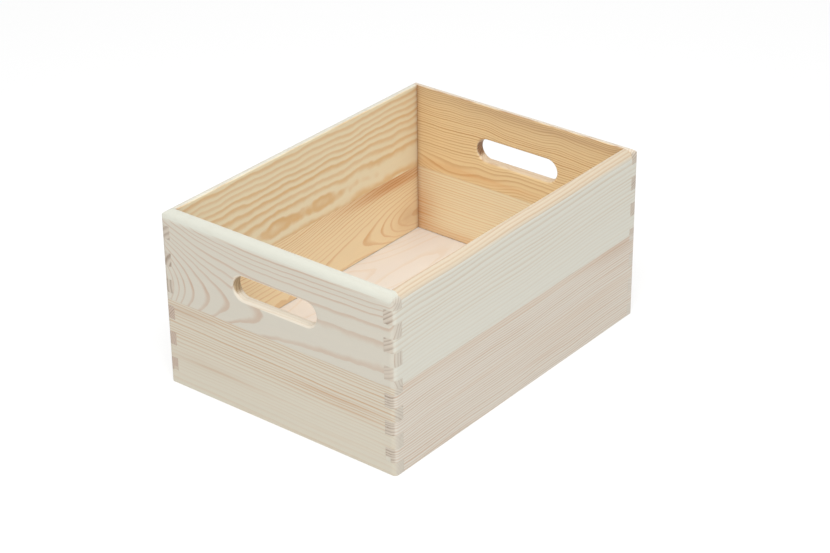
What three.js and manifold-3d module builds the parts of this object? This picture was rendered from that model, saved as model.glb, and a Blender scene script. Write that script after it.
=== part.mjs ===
// Open toy box of pine: four edge-glued walls, finger-jointed at the corners, around a plywood base.
//
// Millimetres. +X runs along the long sides and +Z points up. The origin is the middle of the
// rectangle that the box stands on. The front end is at -X, the back end at +X, the left side
// at +Y and the right side at -Y.

import * as THREE from "three";
import { mergeVertices } from "three/addons/utils/BufferGeometryUtils.js";
import Module from "manifold-3d";

const wasm = await Module();
wasm.setup();

// Overall sizes.
const length = 400;
const width = 292;
const height = 192.4;
const wallThickness = 12;

// Corner joints. The count is odd, so the end boards own the lowest and the highest finger.
const fingerCount = 13;
const glueGap = 0.1;

// Base panel, let into a groove in all four walls. The groove starts at the first finger line, and
// the panel lies on the groove's lower face, with a clearance above it and round its edge.
const panelThickness = 4;
const panelTopClearance = 0.7;
const panelEdgeClearance = 0.5;
const grooveDepth = 6;

// Handle slot through each end, measured at its narrowest; slotDrop runs from the rim to its middle.
const slotLength = 104;
const slotHeight = 25.5;
const slotDrop = 52.4;
const slotEdgeRadius = 3;

// Rounded and broken edges. The rim's rounding always leaves a flat strip along the inside.
const rimFlat = 2;
const rimRadius = Math.min(11, wallThickness - rimFlat);
const rimInnerBreak = 0.8;
const cornerRadius = 6;
const footRadius = 1.2;

// How finely arcs are divided. A quarter turn of a shape's arc gets twice arcSteps edges.
const arcSteps = 5;
const slotTurnSteps = 48;
const slotEdgeSteps = 6;

// How far a cutting solid runs past the piece that it cuts.
const overrun = 5;

// Worked out from the sizes above.
const fingerHeight = height / fingerCount;
const glueLineHeight = height / 2;
const grooveBottom = fingerHeight;
const panelBottom = grooveBottom + glueGap;
const grooveTop = panelBottom + panelThickness + panelTopClearance;
const panelReach = grooveDepth - panelEdgeClearance;

const plywood = new THREE.MeshStandardMaterial({ color: 0xf0dcc2, roughness: 0.6, metalness: 0 });
const pineEnd = new THREE.MeshStandardMaterial({ color: 0xe4dcc4, roughness: 0.6, metalness: 0 });
const pineSide = new THREE.MeshStandardMaterial({ color: 0xe2d0b0, roughness: 0.6, metalness: 0 });
const pinePlug = new THREE.MeshStandardMaterial({ color: 0xe8e0c8, roughness: 0.65, metalness: 0 });

// ---- Solids -------------------------------------------------------------------------------

// A closed three.js geometry as a solid. Slivers that a lathe leaves on its axis are dropped.
function toSolid(geometry) {
  geometry.deleteAttribute("normal");
  geometry.deleteAttribute("uv");
  const merged = mergeVertices(geometry, 1e-4);
  const index = merged.index.array;
  const triangles = [];
  for (let i = 0; i < index.length; i += 3) {
    const [a, b, c] = [index[i], index[i + 1], index[i + 2]];
    if (a !== b && b !== c && c !== a) triangles.push(a, b, c);
  }
  return new wasm.Manifold(new wasm.Mesh({
    numProp: 3,
    vertProperties: merged.attributes.position.array,
    triVerts: Uint32Array.from(triangles),
  }));
}

function toGeometry(solid) {
  const mesh = solid.getMesh();
  const geometry = new THREE.BufferGeometry();
  geometry.setAttribute("position", new THREE.BufferAttribute(mesh.vertProperties, 3));
  geometry.setIndex(new THREE.BufferAttribute(mesh.triVerts, 1));
  geometry.computeVertexNormals();
  return geometry;
}

// A block between two values of x, of y and of z.
function block([x0, x1], [y0, y1], [z0, z1]) {
  const geometry = new THREE.BoxGeometry(x1 - x0, y1 - y0, z1 - z0);
  geometry.translate((x0 + x1) / 2, (y0 + y1) / 2, (z0 + z1) / 2);
  return toSolid(geometry);
}

// A shape drawn in x and z, extruded along y and centred on y = 0.
function prismAlongY(shape, depth) {
  const geometry = new THREE.ExtrudeGeometry(shape, { depth, bevelEnabled: false, curveSegments: arcSteps });
  geometry.translate(0, 0, -depth / 2);
  geometry.rotateX(Math.PI / 2);
  return toSolid(geometry);
}

// A shape drawn in y and z, extruded along x and centred on x = 0.
function prismAlongX(shape, depth) {
  const geometry = new THREE.ExtrudeGeometry(shape, { depth, bevelEnabled: false, curveSegments: arcSteps });
  geometry.translate(0, 0, -depth / 2);
  geometry.rotateX(Math.PI / 2);
  geometry.rotateZ(Math.PI / 2);
  return toSolid(geometry);
}

// ---- The box's outer form -----------------------------------------------------------------

// Plan of the box, with its upright corners rounded.
function planOutline(run, across) {
  const [x, y, r] = [run / 2, across / 2, cornerRadius];
  const shape = new THREE.Shape();
  shape.absarc(x - r, y - r, r, 0, Math.PI / 2);
  shape.absarc(-x + r, y - r, r, Math.PI / 2, Math.PI);
  shape.absarc(-x + r, -y + r, r, Math.PI, 1.5 * Math.PI);
  shape.absarc(x - r, -y + r, r, 1.5 * Math.PI, 2 * Math.PI);
  return shape;
}

// Upright section across the whole box: widely rounded at the rim, slightly at the foot.
function uprightOutline(span) {
  const half = span / 2;
  const shape = new THREE.Shape();
  shape.absarc(half - footRadius, footRadius, footRadius, -Math.PI / 2, 0);
  shape.absarc(half - rimRadius, height - rimRadius, rimRadius, 0, Math.PI / 2);
  shape.absarc(-half + rimRadius, height - rimRadius, rimRadius, Math.PI / 2, Math.PI);
  shape.absarc(-half + footRadius, footRadius, footRadius, Math.PI, 1.5 * Math.PI);
  return shape;
}

function outerForm(run, across) {
  const plan = new THREE.ExtrudeGeometry(planOutline(run, across), {
    depth: height, bevelEnabled: false, curveSegments: arcSteps,
  });
  return toSolid(plan)
    .intersect(prismAlongY(uprightOutline(run), across + 2 * overrun))
    .intersect(prismAlongX(uprightOutline(across), run + 2 * overrun));
}

// The space just above the inside's top edge, wider by the broken edge at the rim.
function rimBreakOutline(span) {
  const half = span / 2 - wallThickness;
  const flare = rimInnerBreak + overrun;
  return new THREE.Shape([
    new THREE.Vector2(-half, height - rimInnerBreak),
    new THREE.Vector2(half, height - rimInnerBreak),
    new THREE.Vector2(half + flare, height + overrun),
    new THREE.Vector2(-half - flare, height + overrun),
  ]);
}

function rimBreak(run, across) {
  return prismAlongY(rimBreakOutline(run), across)
    .intersect(prismAlongX(rimBreakOutline(across), run));
}

// ---- Walls --------------------------------------------------------------------------------
// Every wall is built with its run along x and its outer face at y = across / 2.

// Cuts the sockets that take the neighbours' fingers, at both ends of a wall.
function cutSockets(wall, run, across, firstSocket) {
  const depth = wallThickness + glueGap;
  let cut = wall;
  for (let finger = firstSocket; finger < fingerCount; finger += 2) {
    const low = finger === 0 ? -overrun : finger * fingerHeight - glueGap / 2;
    const high = finger === fingerCount - 1 ? height + overrun : (finger + 1) * fingerHeight + glueGap / 2;
    for (const end of [-1, 1]) {
      const [inner, outer] = [end * (run / 2 - depth), end * (run / 2 + overrun)];
      const along = [Math.min(inner, outer), Math.max(inner, outer)];
      cut = cut.subtract(block(along, [across / 2 - depth - overrun, across / 2 + overrun], [low, high]));
    }
  }
  return cut;
}

function groove(run, across) {
  const inside = across / 2 - wallThickness;
  return block([-run / 2 - overrun, run / 2 + overrun], [inside - overrun, inside + grooveDepth],
    [grooveBottom, grooveTop]);
}

// Edge of the handle slot through the wall, as points of (half height, depth): wide at both faces.
function slotEdge() {
  const narrow = slotHeight / 2;
  const wide = narrow + slotEdgeRadius;
  const face = wallThickness / 2;
  const points = [new THREE.Vector2(wide, -face - overrun)];
  for (let step = 0; step <= slotEdgeSteps; step += 1) {
    const angle = (step / slotEdgeSteps) * (Math.PI / 2);
    points.push(new THREE.Vector2(
      wide - slotEdgeRadius * Math.sin(angle),
      -face + slotEdgeRadius * (1 - Math.cos(angle)),
    ));
  }
  const mirrored = points.map((point) => new THREE.Vector2(point.x, -point.y)).reverse();
  return [...points, ...mirrored];
}

// The solid that cuts a handle slot: a straight middle and a round turn at each end.
function slotCutter() {
  const edge = slotEdge();
  const turnOffset = (slotLength - slotHeight) / 2;
  const [low, high] = [edge[0], edge[edge.length - 1]];
  const turnProfile = [new THREE.Vector2(0, low.y), ...edge, new THREE.Vector2(0, high.y)];
  const turn = toSolid(new THREE.LatheGeometry(turnProfile, slotTurnSteps));
  const opposite = edge.map((point) => new THREE.Vector2(-point.x, point.y)).reverse();
  const section = new THREE.ExtrudeGeometry(new THREE.Shape([...edge, ...opposite]), {
    depth: 2 * turnOffset, bevelEnabled: false,
  });
  section.translate(0, 0, -turnOffset);
  section.rotateY(Math.PI / 2);
  return toSolid(section)
    .add(turn.translate([-turnOffset, 0, 0]))
    .add(turn.translate([turnOffset, 0, 0]));
}

// A whole wall. Side walls own the odd fingers and end walls the even ones.
function wallSolid(run, across, isEnd) {
  const outer = across / 2;
  let wall = block([-run / 2, run / 2], [outer - wallThickness, outer], [0, height])
    .intersect(outerForm(run, across))
    .subtract(rimBreak(run, across))
    .subtract(groove(run, across));
  wall = cutSockets(wall, run, across, isEnd ? 1 : 0);
  if (!isEnd) return wall;
  return wall.subtract(slotCutter().translate([0, outer - wallThickness / 2, height - slotDrop]));
}

// The part of a wall between two heights, as one of its two edge-glued boards.
function board(wall, run, across, [low, high]) {
  const reach = run + across;
  return toGeometry(wall.intersect(block([-reach, reach], [-reach, reach], [low, high])));
}

function addWall(box, name, run, across, isEnd, turn, material) {
  const wall = wallSolid(run, across, isEnd);
  const group = new THREE.Group();
  const spans = {
    lower: [-overrun, glueLineHeight - glueGap / 2],
    upper: [glueLineHeight + glueGap / 2, height + overrun],
  };
  for (const [place, span] of Object.entries(spans)) {
    const mesh = new THREE.Mesh(board(wall, run, across, span), material);
    mesh.name = `${name}_${place}_board`;
    group.add(mesh);
  }
  group.rotation.z = turn;
  box.add(group);
}

// ---- Base and plugs -----------------------------------------------------------------------

function addBasePanel(box) {
  const inset = 2 * (wallThickness - panelReach);
  const mesh = new THREE.Mesh(
    new THREE.BoxGeometry(length - inset, width - inset, panelThickness), plywood);
  mesh.name = "base_panel";
  mesh.position.z = panelBottom + panelThickness / 2;
  box.add(mesh);
}

// A small block fills each end of the side walls' grooves, flush with the end wall's face.
function addGroovePlugs(box) {
  const plugLength = wallThickness - panelReach - glueGap;
  const plugDepth = grooveDepth - glueGap;
  const plugHeight = grooveTop - grooveBottom - glueGap;
  const x = length / 2 - plugLength / 2;
  const y = width / 2 - wallThickness + plugDepth / 2;
  for (const [end, endSign] of [["front", -1], ["back", 1]]) {
    for (const [side, sideSign] of [["left", 1], ["right", -1]]) {
      const mesh = new THREE.Mesh(new THREE.BoxGeometry(plugLength, plugDepth, plugHeight), pinePlug);
      mesh.name = `groove_plug_${end}_${side}`;
      mesh.position.set(endSign * x, sideSign * y, (grooveBottom + grooveTop) / 2);
      box.add(mesh);
    }
  }
}

// ---- Assembly -----------------------------------------------------------------------------

const toyBox = new THREE.Group();
addWall(toyBox, "front_end", width, length, true, Math.PI / 2, pineEnd);
addWall(toyBox, "back_end", width, length, true, -Math.PI / 2, pineEnd);
addWall(toyBox, "left_side", length, width, false, 0, pineSide);
addWall(toyBox, "right_side", length, width, false, Math.PI, pineSide);
addBasePanel(toyBox);
addGroovePlugs(toyBox);

export default toyBox;
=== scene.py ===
"""Looks for the open pine toy box: camera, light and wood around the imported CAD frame.

Metres, in the CAD's frame: +X along the long sides, +Z up, the front end at -X. The wood's figure is
worked out in millimetres, because growth rings are easier to read that way.
"""

import math
from dataclasses import dataclass, field

import bpy
from mathutils import Matrix, Vector


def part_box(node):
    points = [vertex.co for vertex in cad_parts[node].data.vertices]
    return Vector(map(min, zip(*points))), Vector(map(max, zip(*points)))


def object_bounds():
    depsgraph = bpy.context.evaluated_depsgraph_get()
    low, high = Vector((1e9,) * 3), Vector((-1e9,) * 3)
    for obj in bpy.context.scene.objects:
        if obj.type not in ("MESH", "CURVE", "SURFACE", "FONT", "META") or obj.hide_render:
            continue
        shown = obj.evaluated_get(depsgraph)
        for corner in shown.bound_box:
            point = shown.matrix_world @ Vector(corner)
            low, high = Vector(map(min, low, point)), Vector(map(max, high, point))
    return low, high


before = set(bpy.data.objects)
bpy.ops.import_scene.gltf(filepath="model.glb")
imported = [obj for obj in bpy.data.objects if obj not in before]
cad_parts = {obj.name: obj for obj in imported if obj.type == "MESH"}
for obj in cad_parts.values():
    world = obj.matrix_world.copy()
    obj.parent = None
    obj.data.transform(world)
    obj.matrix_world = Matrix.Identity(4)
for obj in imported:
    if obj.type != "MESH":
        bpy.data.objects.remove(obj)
cad_low, cad_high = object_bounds()
scene = bpy.context.scene

MM = 0.001
HALF_LENGTH = cad_high.x / MM
HALF_WIDTH = cad_high.y / MM
HEIGHT = cad_high.z / MM
side_low, side_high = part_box("right_side_lower_board")
WALL_THICKNESS = (side_high.y - side_low.y) / MM

# Camera: the direction it looks from, the point it looks at, and how far away it stands.
CAMERA_AZIMUTH = -51.26
CAMERA_ELEVATION = 28.39
CAMERA_ROLL = -0.65
CAMERA_AIM = Vector((0.00045, -0.01079, 0.08436))
CAMERA_DISTANCE = 2.3079
CAMERA_LENS = 98.59

# Light: a white surround, a softbox overhead, a softbox beside the camera and a pale floor that
# glows a little. A softbox is (azimuth, elevation, distance, size, power).
SURROUND_STRENGTH = 0.52
SOFTBOXES = {
    "softbox_overhead": (0.0, 90.0, 2.2, 2.0, 15.0),
    "softbox_front": (-50.0, 55.0, 2.6, 1.4, 36.0),
}
FLOOR_SIZE = 14.0
FLOOR_COLOUR = (0.35, 0.35, 0.35, 1.0)
FLOOR_GLOW = 0.66
WHITE = (1.0, 1.0, 1.0, 1.0)

# Kinds of face. A mask grows from 0 to 1 between two values: how far a face looks along the run or
# up, from 0 to 1, and for a handle slot the distance from the wall's middle and the height, in mm.
END_GRAIN_FACE = (0.6, 0.9)
LEVEL_FACE = (0.8, 0.97)
PAST_SLOT_END = (70.0, 80.0)
ABOVE_SLOT = (HEIGHT - 25, HEIGHT - 20)

# Painted shade in the inside's upright corners: (length over which it fades, in mm, strength).
TIGHT_SHADE = (2.0, 0.45)
WIDE_SHADE = (14.0, 0.14)

# Depths behind the outer face, in mm, between which a swirl in the rings comes in.
SWIRL_FADE = (2.0, 10.0)

# Gloss, and the relief of the grain as (strength, height in metres).
WOOD_SPECULAR = 0.35
PINE_RELIEF = (0.5, 0.00012)
BIRCH_RELIEF = (0.4, 0.0001)

# Angle limit, in degrees, of the dissolve that drops slivers.
FLAT_ANGLE = 1.0


# ---- Camera, light and floor --------------------------------------------------------------


def direction(azimuth, elevation):
    """The way from the box towards an azimuth and elevation in degrees. Azimuth 0 is at -Y."""
    azimuth, elevation = math.radians(azimuth), math.radians(elevation)
    return Vector((
        math.sin(azimuth) * math.cos(elevation),
        -math.cos(azimuth) * math.cos(elevation),
        math.sin(elevation),
    ))


def make_camera():
    back = direction(CAMERA_AZIMUTH, CAMERA_ELEVATION)
    data = bpy.data.cameras.new("camera")
    data.sensor_fit = "HORIZONTAL"
    data.sensor_width = 36.0
    data.lens = CAMERA_LENS
    data.clip_start = 0.05
    data.clip_end = 50.0
    camera = bpy.data.objects.new("camera", data)
    scene.collection.objects.link(camera)
    look = (-back).to_track_quat("-Z", "Y").to_matrix()
    roll = Matrix.Rotation(math.radians(CAMERA_ROLL), 3, "Z")
    place = Matrix.Translation(CAMERA_AIM + back * CAMERA_DISTANCE)
    camera.matrix_world = place @ (look @ roll).to_4x4()
    scene.camera = camera


def make_light():
    world = bpy.data.worlds.new("surround")
    world.use_nodes = True
    background = world.node_tree.nodes["Background"]
    background.inputs["Color"].default_value = WHITE
    background.inputs["Strength"].default_value = SURROUND_STRENGTH
    scene.world = world
    for name, (azimuth, elevation, distance, size, power) in SOFTBOXES.items():
        data = bpy.data.lights.new(name, "AREA")
        data.shape = "SQUARE"
        data.size = size
        data.energy = power
        softbox = bpy.data.objects.new(name, data)
        away = direction(azimuth, elevation)
        turn = (-away).to_track_quat("-Z", "Y").to_matrix().to_4x4()
        softbox.matrix_world = Matrix.Translation(away * distance) @ turn
        scene.collection.objects.link(softbox)


def make_floor():
    half = FLOOR_SIZE / 2
    mesh = bpy.data.meshes.new("floor")
    corners = [(-half, -half, 0.0), (half, -half, 0.0), (half, half, 0.0), (-half, half, 0.0)]
    mesh.from_pydata(corners, [], [(0, 1, 2, 3)])
    floor = bpy.data.objects.new("floor", mesh)
    scene.collection.objects.link(floor)
    material = bpy.data.materials.new("floor")
    material.use_nodes = True
    shader = material.node_tree.nodes["Principled BSDF"]
    shader.inputs["Base Color"].default_value = FLOOR_COLOUR
    shader.inputs["Roughness"].default_value = 0.9
    shader.inputs["Specular IOR Level"].default_value = 0.1
    shader.inputs["Emission Color"].default_value = WHITE
    shader.inputs["Emission Strength"].default_value = FLOOR_GLOW
    mesh.materials.append(material)


# ---- Shader arithmetic --------------------------------------------------------------------


class Field:
    """A number that varies over a surface: the output of a shader node. Arithmetic adds nodes."""

    def __init__(self, tree, socket):
        self.tree = tree
        self.socket = socket

    def math(self, operation, *others):
        node = self.tree.nodes.new("ShaderNodeMath")
        node.operation = operation
        for slot, value in zip(node.inputs, (self, *others)):
            plug(self.tree, slot, value)
        return Field(self.tree, node.outputs[0])

    def __add__(self, other):
        return self.math("ADD", other)

    def __sub__(self, other):
        return self.math("SUBTRACT", other)

    def __mul__(self, other):
        return self.math("MULTIPLY", other)

    def __truediv__(self, other):
        return self.math("DIVIDE", other)

    def step(self, low, high):
        """0 below low and 1 above high, smoothly."""
        node = self.tree.nodes.new("ShaderNodeMapRange")
        node.interpolation_type = "SMOOTHSTEP"
        plug(self.tree, node.inputs["Value"], self)
        plug(self.tree, node.inputs["From Min"], low)
        plug(self.tree, node.inputs["From Max"], high)
        return Field(self.tree, node.outputs["Result"])


def plug(tree, slot, value):
    """Links a field to a socket, or sets a plain number or colour on it."""
    if isinstance(value, Field):
        tree.links.new(value.socket, slot)
    else:
        slot.default_value = value


def vector(x, y, z):
    node = x.tree.nodes.new("ShaderNodeCombineXYZ")
    for slot, value in zip(node.inputs, (x, y, z)):
        plug(x.tree, slot, value)
    return Field(x.tree, node.outputs[0])


def along_axis(tree, position, axis):
    """How far a position lies along an axis, in millimetres."""
    node = tree.nodes.new("ShaderNodeVectorMath")
    node.operation = "DOT_PRODUCT"
    tree.links.new(position, node.inputs[0])
    node.inputs[1].default_value = Vector(axis) / MM
    return Field(tree, node.outputs["Value"])


def noise(place, detail=2.0, roughness=0.5):
    """Smooth noise at a place, about 0 in the middle and rarely past 1 either way."""
    node = place.tree.nodes.new("ShaderNodeTexNoise")
    node.inputs["Scale"].default_value = 1.0
    node.inputs["Detail"].default_value = detail
    node.inputs["Roughness"].default_value = roughness
    plug(place.tree, node.inputs["Vector"], place)
    return (Field(place.tree, node.outputs["Fac"]) - 0.5) * 3.0


def blend(amount, first, second):
    """A colour between two others."""
    node = amount.tree.nodes.new("ShaderNodeMix")
    node.data_type = "RGBA"
    plug(amount.tree, node.inputs[0], amount)
    plug(amount.tree, node.inputs[6], first)
    plug(amount.tree, node.inputs[7], second)
    return Field(amount.tree, node.outputs[2])


def shade(colour, amount):
    """A colour made lighter or darker by a factor."""
    node = amount.tree.nodes.new("ShaderNodeVectorMath")
    node.operation = "SCALE"
    plug(amount.tree, node.inputs[0], colour)
    plug(amount.tree, node.inputs["Scale"], amount)
    return Field(amount.tree, node.outputs[0])


def rgb(red, green, blue):
    """A colour given as it looks on a screen, from 0 to 255, as the linear values that shaders use."""
    def linear(value):
        value = value / 255
        return value / 12.92 if value <= 0.04045 else ((value + 0.055) / 1.055) ** 2.4
    return (linear(red), linear(green), linear(blue), 1.0)


# ---- Wood ---------------------------------------------------------------------------------


@dataclass(frozen=True)
class FaceColours:
    """The colours of one face of a board: wood grown in spring and in autumn."""

    early: tuple
    late: tuple


@dataclass
class Tree:
    """Where a board was cut from its tree, in millimetres. The run is measured from the board's left."""

    height: float              # height of the pith's line at the left end
    depth: float               # distance of that line behind the outer face, positive towards the inside
    climb: float = 0.0         # change of height along the whole run
    flare: float = 0.0         # how much deeper the pith lies far from one end
    flare_length: float = 50.0
    from_right: bool = False   # the flare starts at the right end
    rise: tuple = (0.0, 1.0, 0.0)   # (from, to, by): the pith climbs by so much between two places
    calm: tuple = (-1.0, 0.0, 1.0)  # (from, to, share): below, only a share of the late wood shows
    ring: float = 3.5          # width of a year's growth
    wander: float = 3.0        # how far the pith's line strays up and down
    wander_length: float = 90.0
    ripple: float = 0.5        # small waves of the rings
    ripple_length: float = 18.0
    late_start: float = 0.45   # share of a ring after which the late wood darkens
    late_end: float = 0.93     # share of a ring after which it turns pale again
    contrast: float = 0.3      # how much the late wood differs from year to year
    # Local bulges of the rings, which fade out towards the outer face: (run, height, length, tall, rise).
    swirls: list = field(default_factory=list)
    seed: float = 0.0


@dataclass
class Wall:
    """A wall's directions: along its run from left to right, and outward."""

    along: tuple
    outward: tuple
    half_run: float
    outer: float


WALLS = {
    "front_end": Wall((0, -1, 0), (-1, 0, 0), HALF_WIDTH, HALF_LENGTH),
    "back_end": Wall((0, -1, 0), (1, 0, 0), HALF_WIDTH, HALF_LENGTH),
    "left_side": Wall((1, 0, 0), (0, 1, 0), HALF_LENGTH, HALF_WIDTH),
    "right_side": Wall((1, 0, 0), (0, -1, 0), HALF_LENGTH, HALF_WIDTH),
}


def bulge(run, height, at_run, at_height, length, tall):
    """1 at a place on a wall, falling smoothly to nothing a little past its length and its height."""
    across = (run - at_run) / length
    up = (height - at_height) / tall
    return ((across * across + up * up) * -1.0).math("EXPONENT")


def ring_radius(tree_spec, half_run, run, depth, height):
    """Distance from the pith, which bends, and strays up and down, along the board."""
    seed = tree_spec.seed
    start = run if not tree_spec.from_right else (run * -1.0) + 2 * half_run
    share = run / (2 * half_run)
    rise_from, rise_to, rise_by = tree_spec.rise
    stray_place = vector(run / tree_spec.wander_length, depth / 60.0, height / 60.0 + seed)
    stray_high = noise(stray_place, detail=1.0) * tree_spec.wander
    climbed = share * tree_spec.climb + run.step(rise_from, rise_to) * rise_by
    pith_high = climbed + stray_high + tree_spec.height
    opened = ((start / -tree_spec.flare_length).math("EXPONENT") * -1.0 + 1.0) * tree_spec.flare
    pith_deep = opened + tree_spec.depth
    high = height - pith_high
    deep = pith_deep - depth
    radius = (high * high + deep * deep).math("SQRT")
    ripple_place = vector(run / tree_spec.ripple_length, depth / 20.0, height / 22.0 + seed)
    radius = radius + noise(ripple_place) * tree_spec.ripple
    fade = depth.step(*SWIRL_FADE)
    for at_run, at_height, length, tall, rise in tree_spec.swirls:
        radius = radius + bulge(run, height, at_run, at_height, length, tall) * fade * rise
    return radius


def wood_colour(board, late, inner, on_edge, end_grain, in_slot):
    """The colour of a board's surface: its outside, its inside, its cut edges and its end grain."""
    def wood(colours_of_face):
        return blend(late, colours_of_face.early, colours_of_face.late)

    # The inside's colours are lighter and warmer than the outside's: partly the wood's own colour, partly
    # painted light.
    colour = blend(inner, wood(board.outside), wood(board.inside))
    rim = blend(late * board.edge_figure, board.edge.early, board.edge.late)
    # In a handle slot the cut faces take the cut wood's colour made lighter, as painted light.
    colour = blend(on_edge, colour, blend(in_slot, rim, wood(board.slot_edge_painted_light)))
    return blend(end_grain, colour, blend(in_slot, wood(board.end), wood(board.slot_end)))


def corner_shade(run, half_run):
    """How much painted shade darkens the inside beside its upright corners, and not at all outside them.
    """
    def fading(length, strength):
        return (away / -length).math("EXPONENT") * strength

    from_corner = (run - half_run).math("ABSOLUTE") * -1.0 + (half_run - WALL_THICKNESS)
    away = from_corner.math("MAXIMUM", 0.0)
    return (fading(*TIGHT_SHADE) + fading(*WIDE_SHADE)) * from_corner.step(-0.6, -0.2)


def new_wood(name):
    """A new material, with the position and the facing of the surface that it is on."""
    material = bpy.data.materials.new(name)
    material.use_nodes = True
    tree = material.node_tree
    position = tree.nodes.new("ShaderNodeTexCoord").outputs["Object"]
    normal = tree.nodes.new("ShaderNodeNewGeometry").outputs["Normal"]
    return material, position, normal


def set_surface(material, colour, rough, height, relief):
    """Joins a wood's colour, roughness and relief to its shader."""
    tree = material.node_tree
    shader = tree.nodes["Principled BSDF"]
    tree.links.new(colour.socket, shader.inputs["Base Color"])
    tree.links.new(rough.socket, shader.inputs["Roughness"])
    bump = tree.nodes.new("ShaderNodeBump")
    bump.inputs["Strength"].default_value, bump.inputs["Distance"].default_value = relief
    plug(tree, bump.inputs["Height"], height)
    tree.links.new(bump.outputs["Normal"], shader.inputs["Normal"])
    shader.inputs["Specular IOR Level"].default_value = WOOD_SPECULAR


def pine(name, board):
    """A pine board's material, with growth rings that run right through the board."""
    wall, tree_spec = WALLS[board.wall], board.cut
    material, position, normal = new_wood(name)
    tree = material.node_tree
    run = along_axis(tree, position, wall.along) + wall.half_run
    depth = along_axis(tree, position, wall.outward) * -1.0 + wall.outer
    height = along_axis(tree, position, (0, 0, 1))
    faces_along = along_axis(tree, normal, wall.along).math("ABSOLUTE") * MM
    faces_up = along_axis(tree, normal, (0, 0, 1)).math("ABSOLUTE") * MM
    seed = tree_spec.seed

    radius = ring_radius(tree_spec, wall.half_run, run, depth, height)
    years = radius / tree_spec.ring
    years = years + noise(vector(years * 0.31, seed, 0.0), detail=0.0) * 0.5
    season = years.math("FRACT")
    late_start, late_end = tree_spec.late_start, tree_spec.late_end
    late = season.step(late_start, late_end - 0.05) * (season.step(late_end, 1.0) * -1.0 + 1.0)
    year_place = vector(years.math("FLOOR") * 7.31, seed + 3.0, 0.0)
    strength = noise(year_place, detail=0.0) * tree_spec.contrast + 0.8
    patch = noise(vector(run / 120.0, depth / 30.0, height / 16.0 + seed), detail=1.0) * 0.3 + 0.85
    calm_from, calm_to, calm_share = tree_spec.calm
    lively = height.step(calm_from, calm_to) * (1.0 - calm_share) + calm_share
    late = late * strength * patch * lively

    fibre = noise(vector(run / 14.0, depth / 0.5, height / 0.5), detail=3.0, roughness=0.6)
    streak = noise(vector(run / 160.0, depth / 5.0, height / 5.0 + seed), detail=2.0)
    ducts = noise(vector(run / 5.0, depth / 0.4, height / 0.4 + seed), detail=0.0).step(0.75, 1.0)

    inner = depth.step(*board.turn)
    level = faces_up.step(*LEVEL_FACE)
    on_edge = faces_up.step(*board.edge_turn).math("MINIMUM", level - inner + 1.0)
    end_grain = faces_along.step(*END_GRAIN_FACE)
    from_middle = (run - wall.half_run).math("ABSOLUTE")
    in_slot = (from_middle.step(*PAST_SLOT_END) + height.step(*ABOVE_SLOT)) * -1.0 + 1.0
    grown = late + streak.step(0.0, 1.0) * board.streaks
    colour = wood_colour(board, grown, inner, on_edge, end_grain, in_slot)
    stain_and_shade_side = inner if board.stains_and_shade_inside else inner * -1.0 + 1.0
    uneven = (streak * 0.5 + late * 0.5 + 0.75) * stain_and_shade_side
    # Streaky patches of colour: the wood's own marks, and painted shade in the back end's lower corner
    # and along the base.
    for at_run, at_height, length, tall, strength, tint in board.stains_and_painted_shade:
        near = bulge(run, height, at_run, at_height, length, tall)
        colour = blend(near * uneven * strength, colour, tint)
    colour = shade(colour, fibre * 0.02 + streak * 0.02 + ducts * -0.05 + 1.0)
    # Painted shade: the inside turns a dark orange-brown beside its upright corners.
    shaded = inner * corner_shade(run, wall.half_run)
    colour = blend(shaded, colour, CORNER_SHADE_COLOUR)
    rough = late * -0.08 + fibre * 0.03 + 0.56
    set_surface(material, colour, rough, late * 0.5 + fibre * 0.35 - ducts * 0.4, PINE_RELIEF)
    return material


# The colour of the painted shade in the inside's upright corners.
CORNER_SHADE_COLOUR = rgb(128, 70, 24)

# Shared face colours, where boards don't differ.
OUTSIDE = FaceColours(rgb(210, 204, 188), rgb(192, 172, 150))
# INSIDE is lighter and warmer than OUTSIDE: partly the wood's own colour, partly painted light.
INSIDE = FaceColours(rgb(232, 220, 196), rgb(218, 188, 146))
EDGE = FaceColours(rgb(210, 206, 190), rgb(200, 186, 162))
END = FaceColours(rgb(202, 191, 176), rgb(150, 132, 115))
PALE_END = FaceColours(rgb(203, 195, 181), rgb(174, 160, 145))
# A slot's cut faces: the cut wood's colour made lighter, as painted light.
SLOT_EDGE_PAINTED_LIGHT = FaceColours(rgb(223, 214, 198), rgb(212, 196, 172))
SLOT_END = FaceColours(rgb(184, 162, 130), rgb(128, 100, 72))


@dataclass
class Board:
    """A board: its wall, how it was cut, and its colours on each kind of face.

    turn is the depth in millimetres, behind the outer face, over which the outside's colour turns
    into the inside's. edge_turn says how far a face looks up, from 0 to 1, where the outside's
    colour gives way to the edge's. edge_figure is the share of the rings that shows on the edges.
    streaks is how strongly long streaks of late wood's colour run through the board. The stains
    list holds streaky patches of another colour on the board's outside or inside, each (run, height,
    length, tall, strength, colour): the wood's own marks, and painted shade in a corner and along the
    base.
    """

    wall: str
    cut: Tree
    outside: FaceColours = OUTSIDE
    inside: FaceColours = INSIDE
    edge: FaceColours = EDGE
    end: FaceColours = END
    slot_edge_painted_light: FaceColours = SLOT_EDGE_PAINTED_LIGHT
    slot_end: FaceColours = SLOT_END
    turn: tuple = (WALL_THICKNESS - 2.0, WALL_THICKNESS - 0.1)
    edge_turn: tuple = (0.15, 0.32)
    edge_figure: float = 0.6
    streaks: float = 0.1
    stains_and_painted_shade: list = field(default_factory=list)
    stains_and_shade_inside: bool = False


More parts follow.
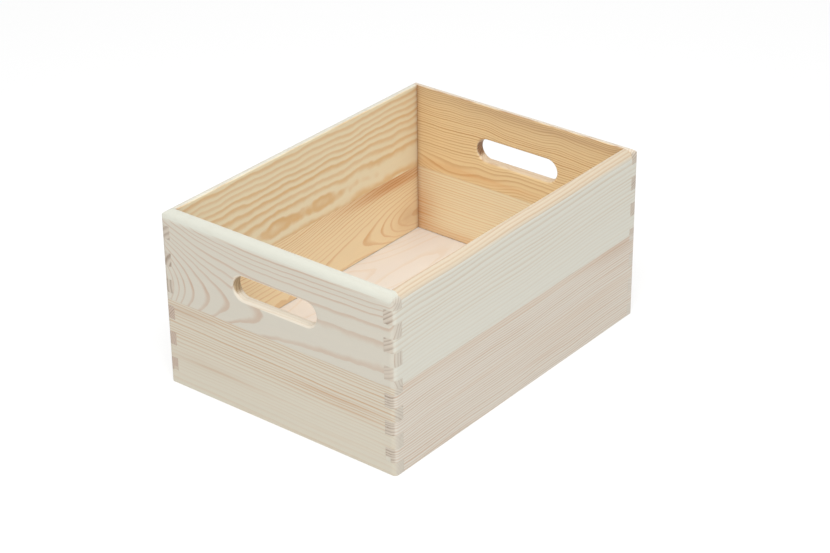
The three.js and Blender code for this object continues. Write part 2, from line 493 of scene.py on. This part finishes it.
BOARDS = {
    "front_end_upper_board": Board(
        "front_end",
        Tree(height=113, depth=49.2, climb=13, flare=31, flare_length=50, ring=3.75, wander=1.2,
             wander_length=70, ripple=0.35, late_start=0.62, seed=1.0),
        outside=FaceColours(rgb(206, 200, 186), rgb(192, 167, 146)),
        edge=FaceColours(rgb(209, 209, 197), rgb(201, 192, 174)),
        end=PALE_END,
        edge_figure=0.15,
    ),
    "front_end_lower_board": Board(
        "front_end",
        Tree(height=-60, depth=-110, climb=-4, ring=2.7, wander=1.5, wander_length=120, ripple=0.2,
             late_start=0.4, contrast=0.8, calm=(38, 62, 0.2), seed=2.0),
        outside=FaceColours(rgb(208, 201, 184), rgb(192, 160, 128)),
        end=PALE_END,
        stains_and_painted_shade=[
            (24, 87, 34, 5, 0.35, rgb(178, 142, 110)),
            (215, 61, 52, 3, 0.4, rgb(186, 142, 100)),
            (60, 34, 60, 7, 0.2, rgb(180, 150, 124)),
        ],
        streaks=0.3,
    ),
    "back_end_upper_board": Board(
        "back_end",
        Tree(height=60, depth=-35, ring=2.5, wander=5.0, wander_length=70, ripple=0.4, late_start=0.4,
             contrast=0.6, calm=(110, 160, 0.65), swirls=[(72, 98, 65, 16, 8.0)], seed=3.0),
        inside=FaceColours(rgb(238, 211, 164), rgb(198, 150, 100)),
        edge=FaceColours(rgb(226, 214, 196), rgb(208, 182, 156)),
        # The slot's cut faces, made lighter as painted light.
        slot_edge_painted_light=FaceColours(rgb(226, 205, 176), rgb(206, 168, 130)),
        slot_end=FaceColours(rgb(158, 120, 84), rgb(84, 54, 36)),
        stains_and_painted_shade=[
            # Darker towards the top of the inside.
            (140, 200, 200, 20, 0.75, rgb(184, 152, 118)),
            (75, 104, 85, 5, 0.45, rgb(220, 158, 92)),
        ],
        stains_and_shade_inside=True,
    ),
    "back_end_lower_board": Board(
        "back_end",
        Tree(height=-120, depth=39, ring=3.2, wander=1.5, ripple=0.3, calm=(-1, 0, 0.6), seed=4.0),
        inside=FaceColours(rgb(238, 222, 188), rgb(224, 188, 139)),
        end=FaceColours(rgb(208, 201, 189), rgb(196, 182, 166)),
        stains_and_painted_shade=[
            # Painted shade: orange-brown darkening in the inside's left corner and along the base.
            (8, 40, 26, 40, 0.55, rgb(200, 128, 62)),
            (70, 19, 80, 9, 0.5, rgb(206, 142, 78)),
        ],
        stains_and_shade_inside=True,
    ),
    "left_side_upper_board": Board(
        "left_side",
        Tree(height=113, depth=48.9, ring=6.0, wander=3.5, wander_length=60, ripple=1.5, ripple_length=26,
             late_start=0.15, late_end=0.72, swirls=[(155, 116, 24, 14, -2.7), (221, 116, 46, 14, -2.6)],
             seed=5.0),
        inside=FaceColours(rgb(240, 229, 200), rgb(224, 186, 132)),
        edge=FaceColours(rgb(224, 222, 208), rgb(214, 204, 186)),
    ),
    "left_side_lower_board": Board(
        "left_side",
        Tree(height=20, depth=72, flare=9, flare_length=90, from_right=True, ring=2.2, wander=1.5,
             ripple=0.3, rise=(150, 330, 22), late_start=0.62, calm=(50, 92, 0.6),
             swirls=[(372, 38, 46, 28, -4.8)], seed=6.0),
        inside=FaceColours(rgb(243, 223, 186), rgb(212, 156, 96)),
        end=FaceColours(rgb(192, 174, 158), rgb(134, 110, 96)),
        stains_and_painted_shade=[
            (345, 92, 75, 9, 0.9, rgb(198, 132, 74)),
            (360, 34, 26, 17, 0.65, rgb(238, 211, 170)),
            (368, 40, 15, 12, 0.4, rgb(190, 136, 86)),
        ],
        stains_and_shade_inside=True,
    ),
    "right_side_upper_board": Board(
        "right_side",
        Tree(height=250, depth=64, climb=10, ring=4.0, wander=3.0, wander_length=130, ripple=0.25,
             late_start=0.35, calm=(105, 150, 0.4), seed=7.0),
        outside=FaceColours(rgb(213, 211, 199), rgb(201, 188, 168)),
        edge=FaceColours(rgb(213, 199, 176), rgb(198, 169, 138)),
        edge_turn=(0.22, 0.5),
        edge_figure=1.0,
    ),
    "right_side_lower_board": Board(
        "right_side",
        Tree(height=320, depth=20, climb=6, ring=2.9, wander=2.5, wander_length=130, ripple=0.25,
             late_start=0.3, contrast=0.6, seed=8.0),
        outside=FaceColours(rgb(214, 208, 196), rgb(194, 168, 145)),
        streaks=0.35,
        stains_and_painted_shade=[
            (200, 92, 400, 4, 0.3, rgb(200, 170, 140)),
            (300, 47, 200, 5, 0.25, rgb(202, 172, 142)),
            (372, 89, 50, 8, 0.4, rgb(184, 150, 122)),
        ],
    ),
}


def groove_plugs():
    """The four small blocks in the groove's openings, each cut from wood with nearly straight rings."""
    plugs = {}
    for end in ("front", "back"):
        for seed, side in enumerate(("left", "right"), start=9):
            straight = Tree(height=40, depth=150, ring=2.4, late_start=0.4, seed=float(seed))
            plain = FaceColours(rgb(208, 202, 187), rgb(192, 174, 154))
            plugs[f"groove_plug_{end}_{side}"] = Board(f"{end}_end", straight, outside=plain, edge=plain)
    return plugs


def birch(name):
    """The base's rotary-cut birch veneer: pinkish cream, with faint wide arcs and fine pores."""
    material, position, normal = new_wood(name)
    tree = material.node_tree
    x = along_axis(tree, position, (1, 0, 0))
    y = along_axis(tree, position, (0, 1, 0))
    z = along_axis(tree, position, (0, 0, 1))
    sweep = noise(vector(x / 260.0, y / 95.0, 4.0), detail=1.0)
    ripple = noise(vector(x / 40.0, y / 14.0, 6.0), detail=2.0)
    bands = (sweep * 5.0 + ripple * 0.18 + y / 60.0).math("FRACT")
    arc = bands.step(0.62, 0.9) * (bands.step(0.92, 1.0) * -1.0 + 1.0)
    patch = noise(vector(x / 130.0, y / 45.0, 8.0), detail=1.0) * 0.35 + 0.5
    pores = noise(vector(x / 3.5, y / 0.35, z / 0.35), detail=2.0)
    ply = (z / 1.3).math("FRACT").step(0.4, 0.6)

    pale = blend(patch, rgb(220, 212, 206), rgb(226, 220, 211))
    colour = blend(arc * 0.32, pale, rgb(214, 192, 166))
    faces_up = along_axis(tree, normal, (0, 0, 1)).math("ABSOLUTE") * MM
    flat = faces_up.step(0.5, 0.8)
    colour = blend(flat, blend(ply, rgb(206, 176, 138), rgb(180, 146, 108)), colour)
    colour = shade(colour, pores * 0.02 + ripple * 0.012 + 1.0)
    set_surface(material, colour, pores * 0.04 + 0.58, pores * 0.5, BIRCH_RELIEF)
    return material


def dress(node_name, material):
    """Gives a CAD node its material and drops its slivers.

    The frame's triangles share no vertices, so nothing else merges, and a bevel has no effect here.
    """
    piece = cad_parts[node_name]
    piece.data.materials.clear()
    piece.data.materials.append(material)
    slivers = piece.modifiers.new("slivers", "DECIMATE")
    slivers.decimate_type = "DISSOLVE"
    slivers.angle_limit = math.radians(FLAT_ANGLE)


scene.view_settings.view_transform = "Standard"
make_camera()
make_light()
make_floor()

for node_name, board in (BOARDS | groove_plugs()).items():
    dress(node_name, pine(node_name, board))
dress("base_panel", birch("birch"))
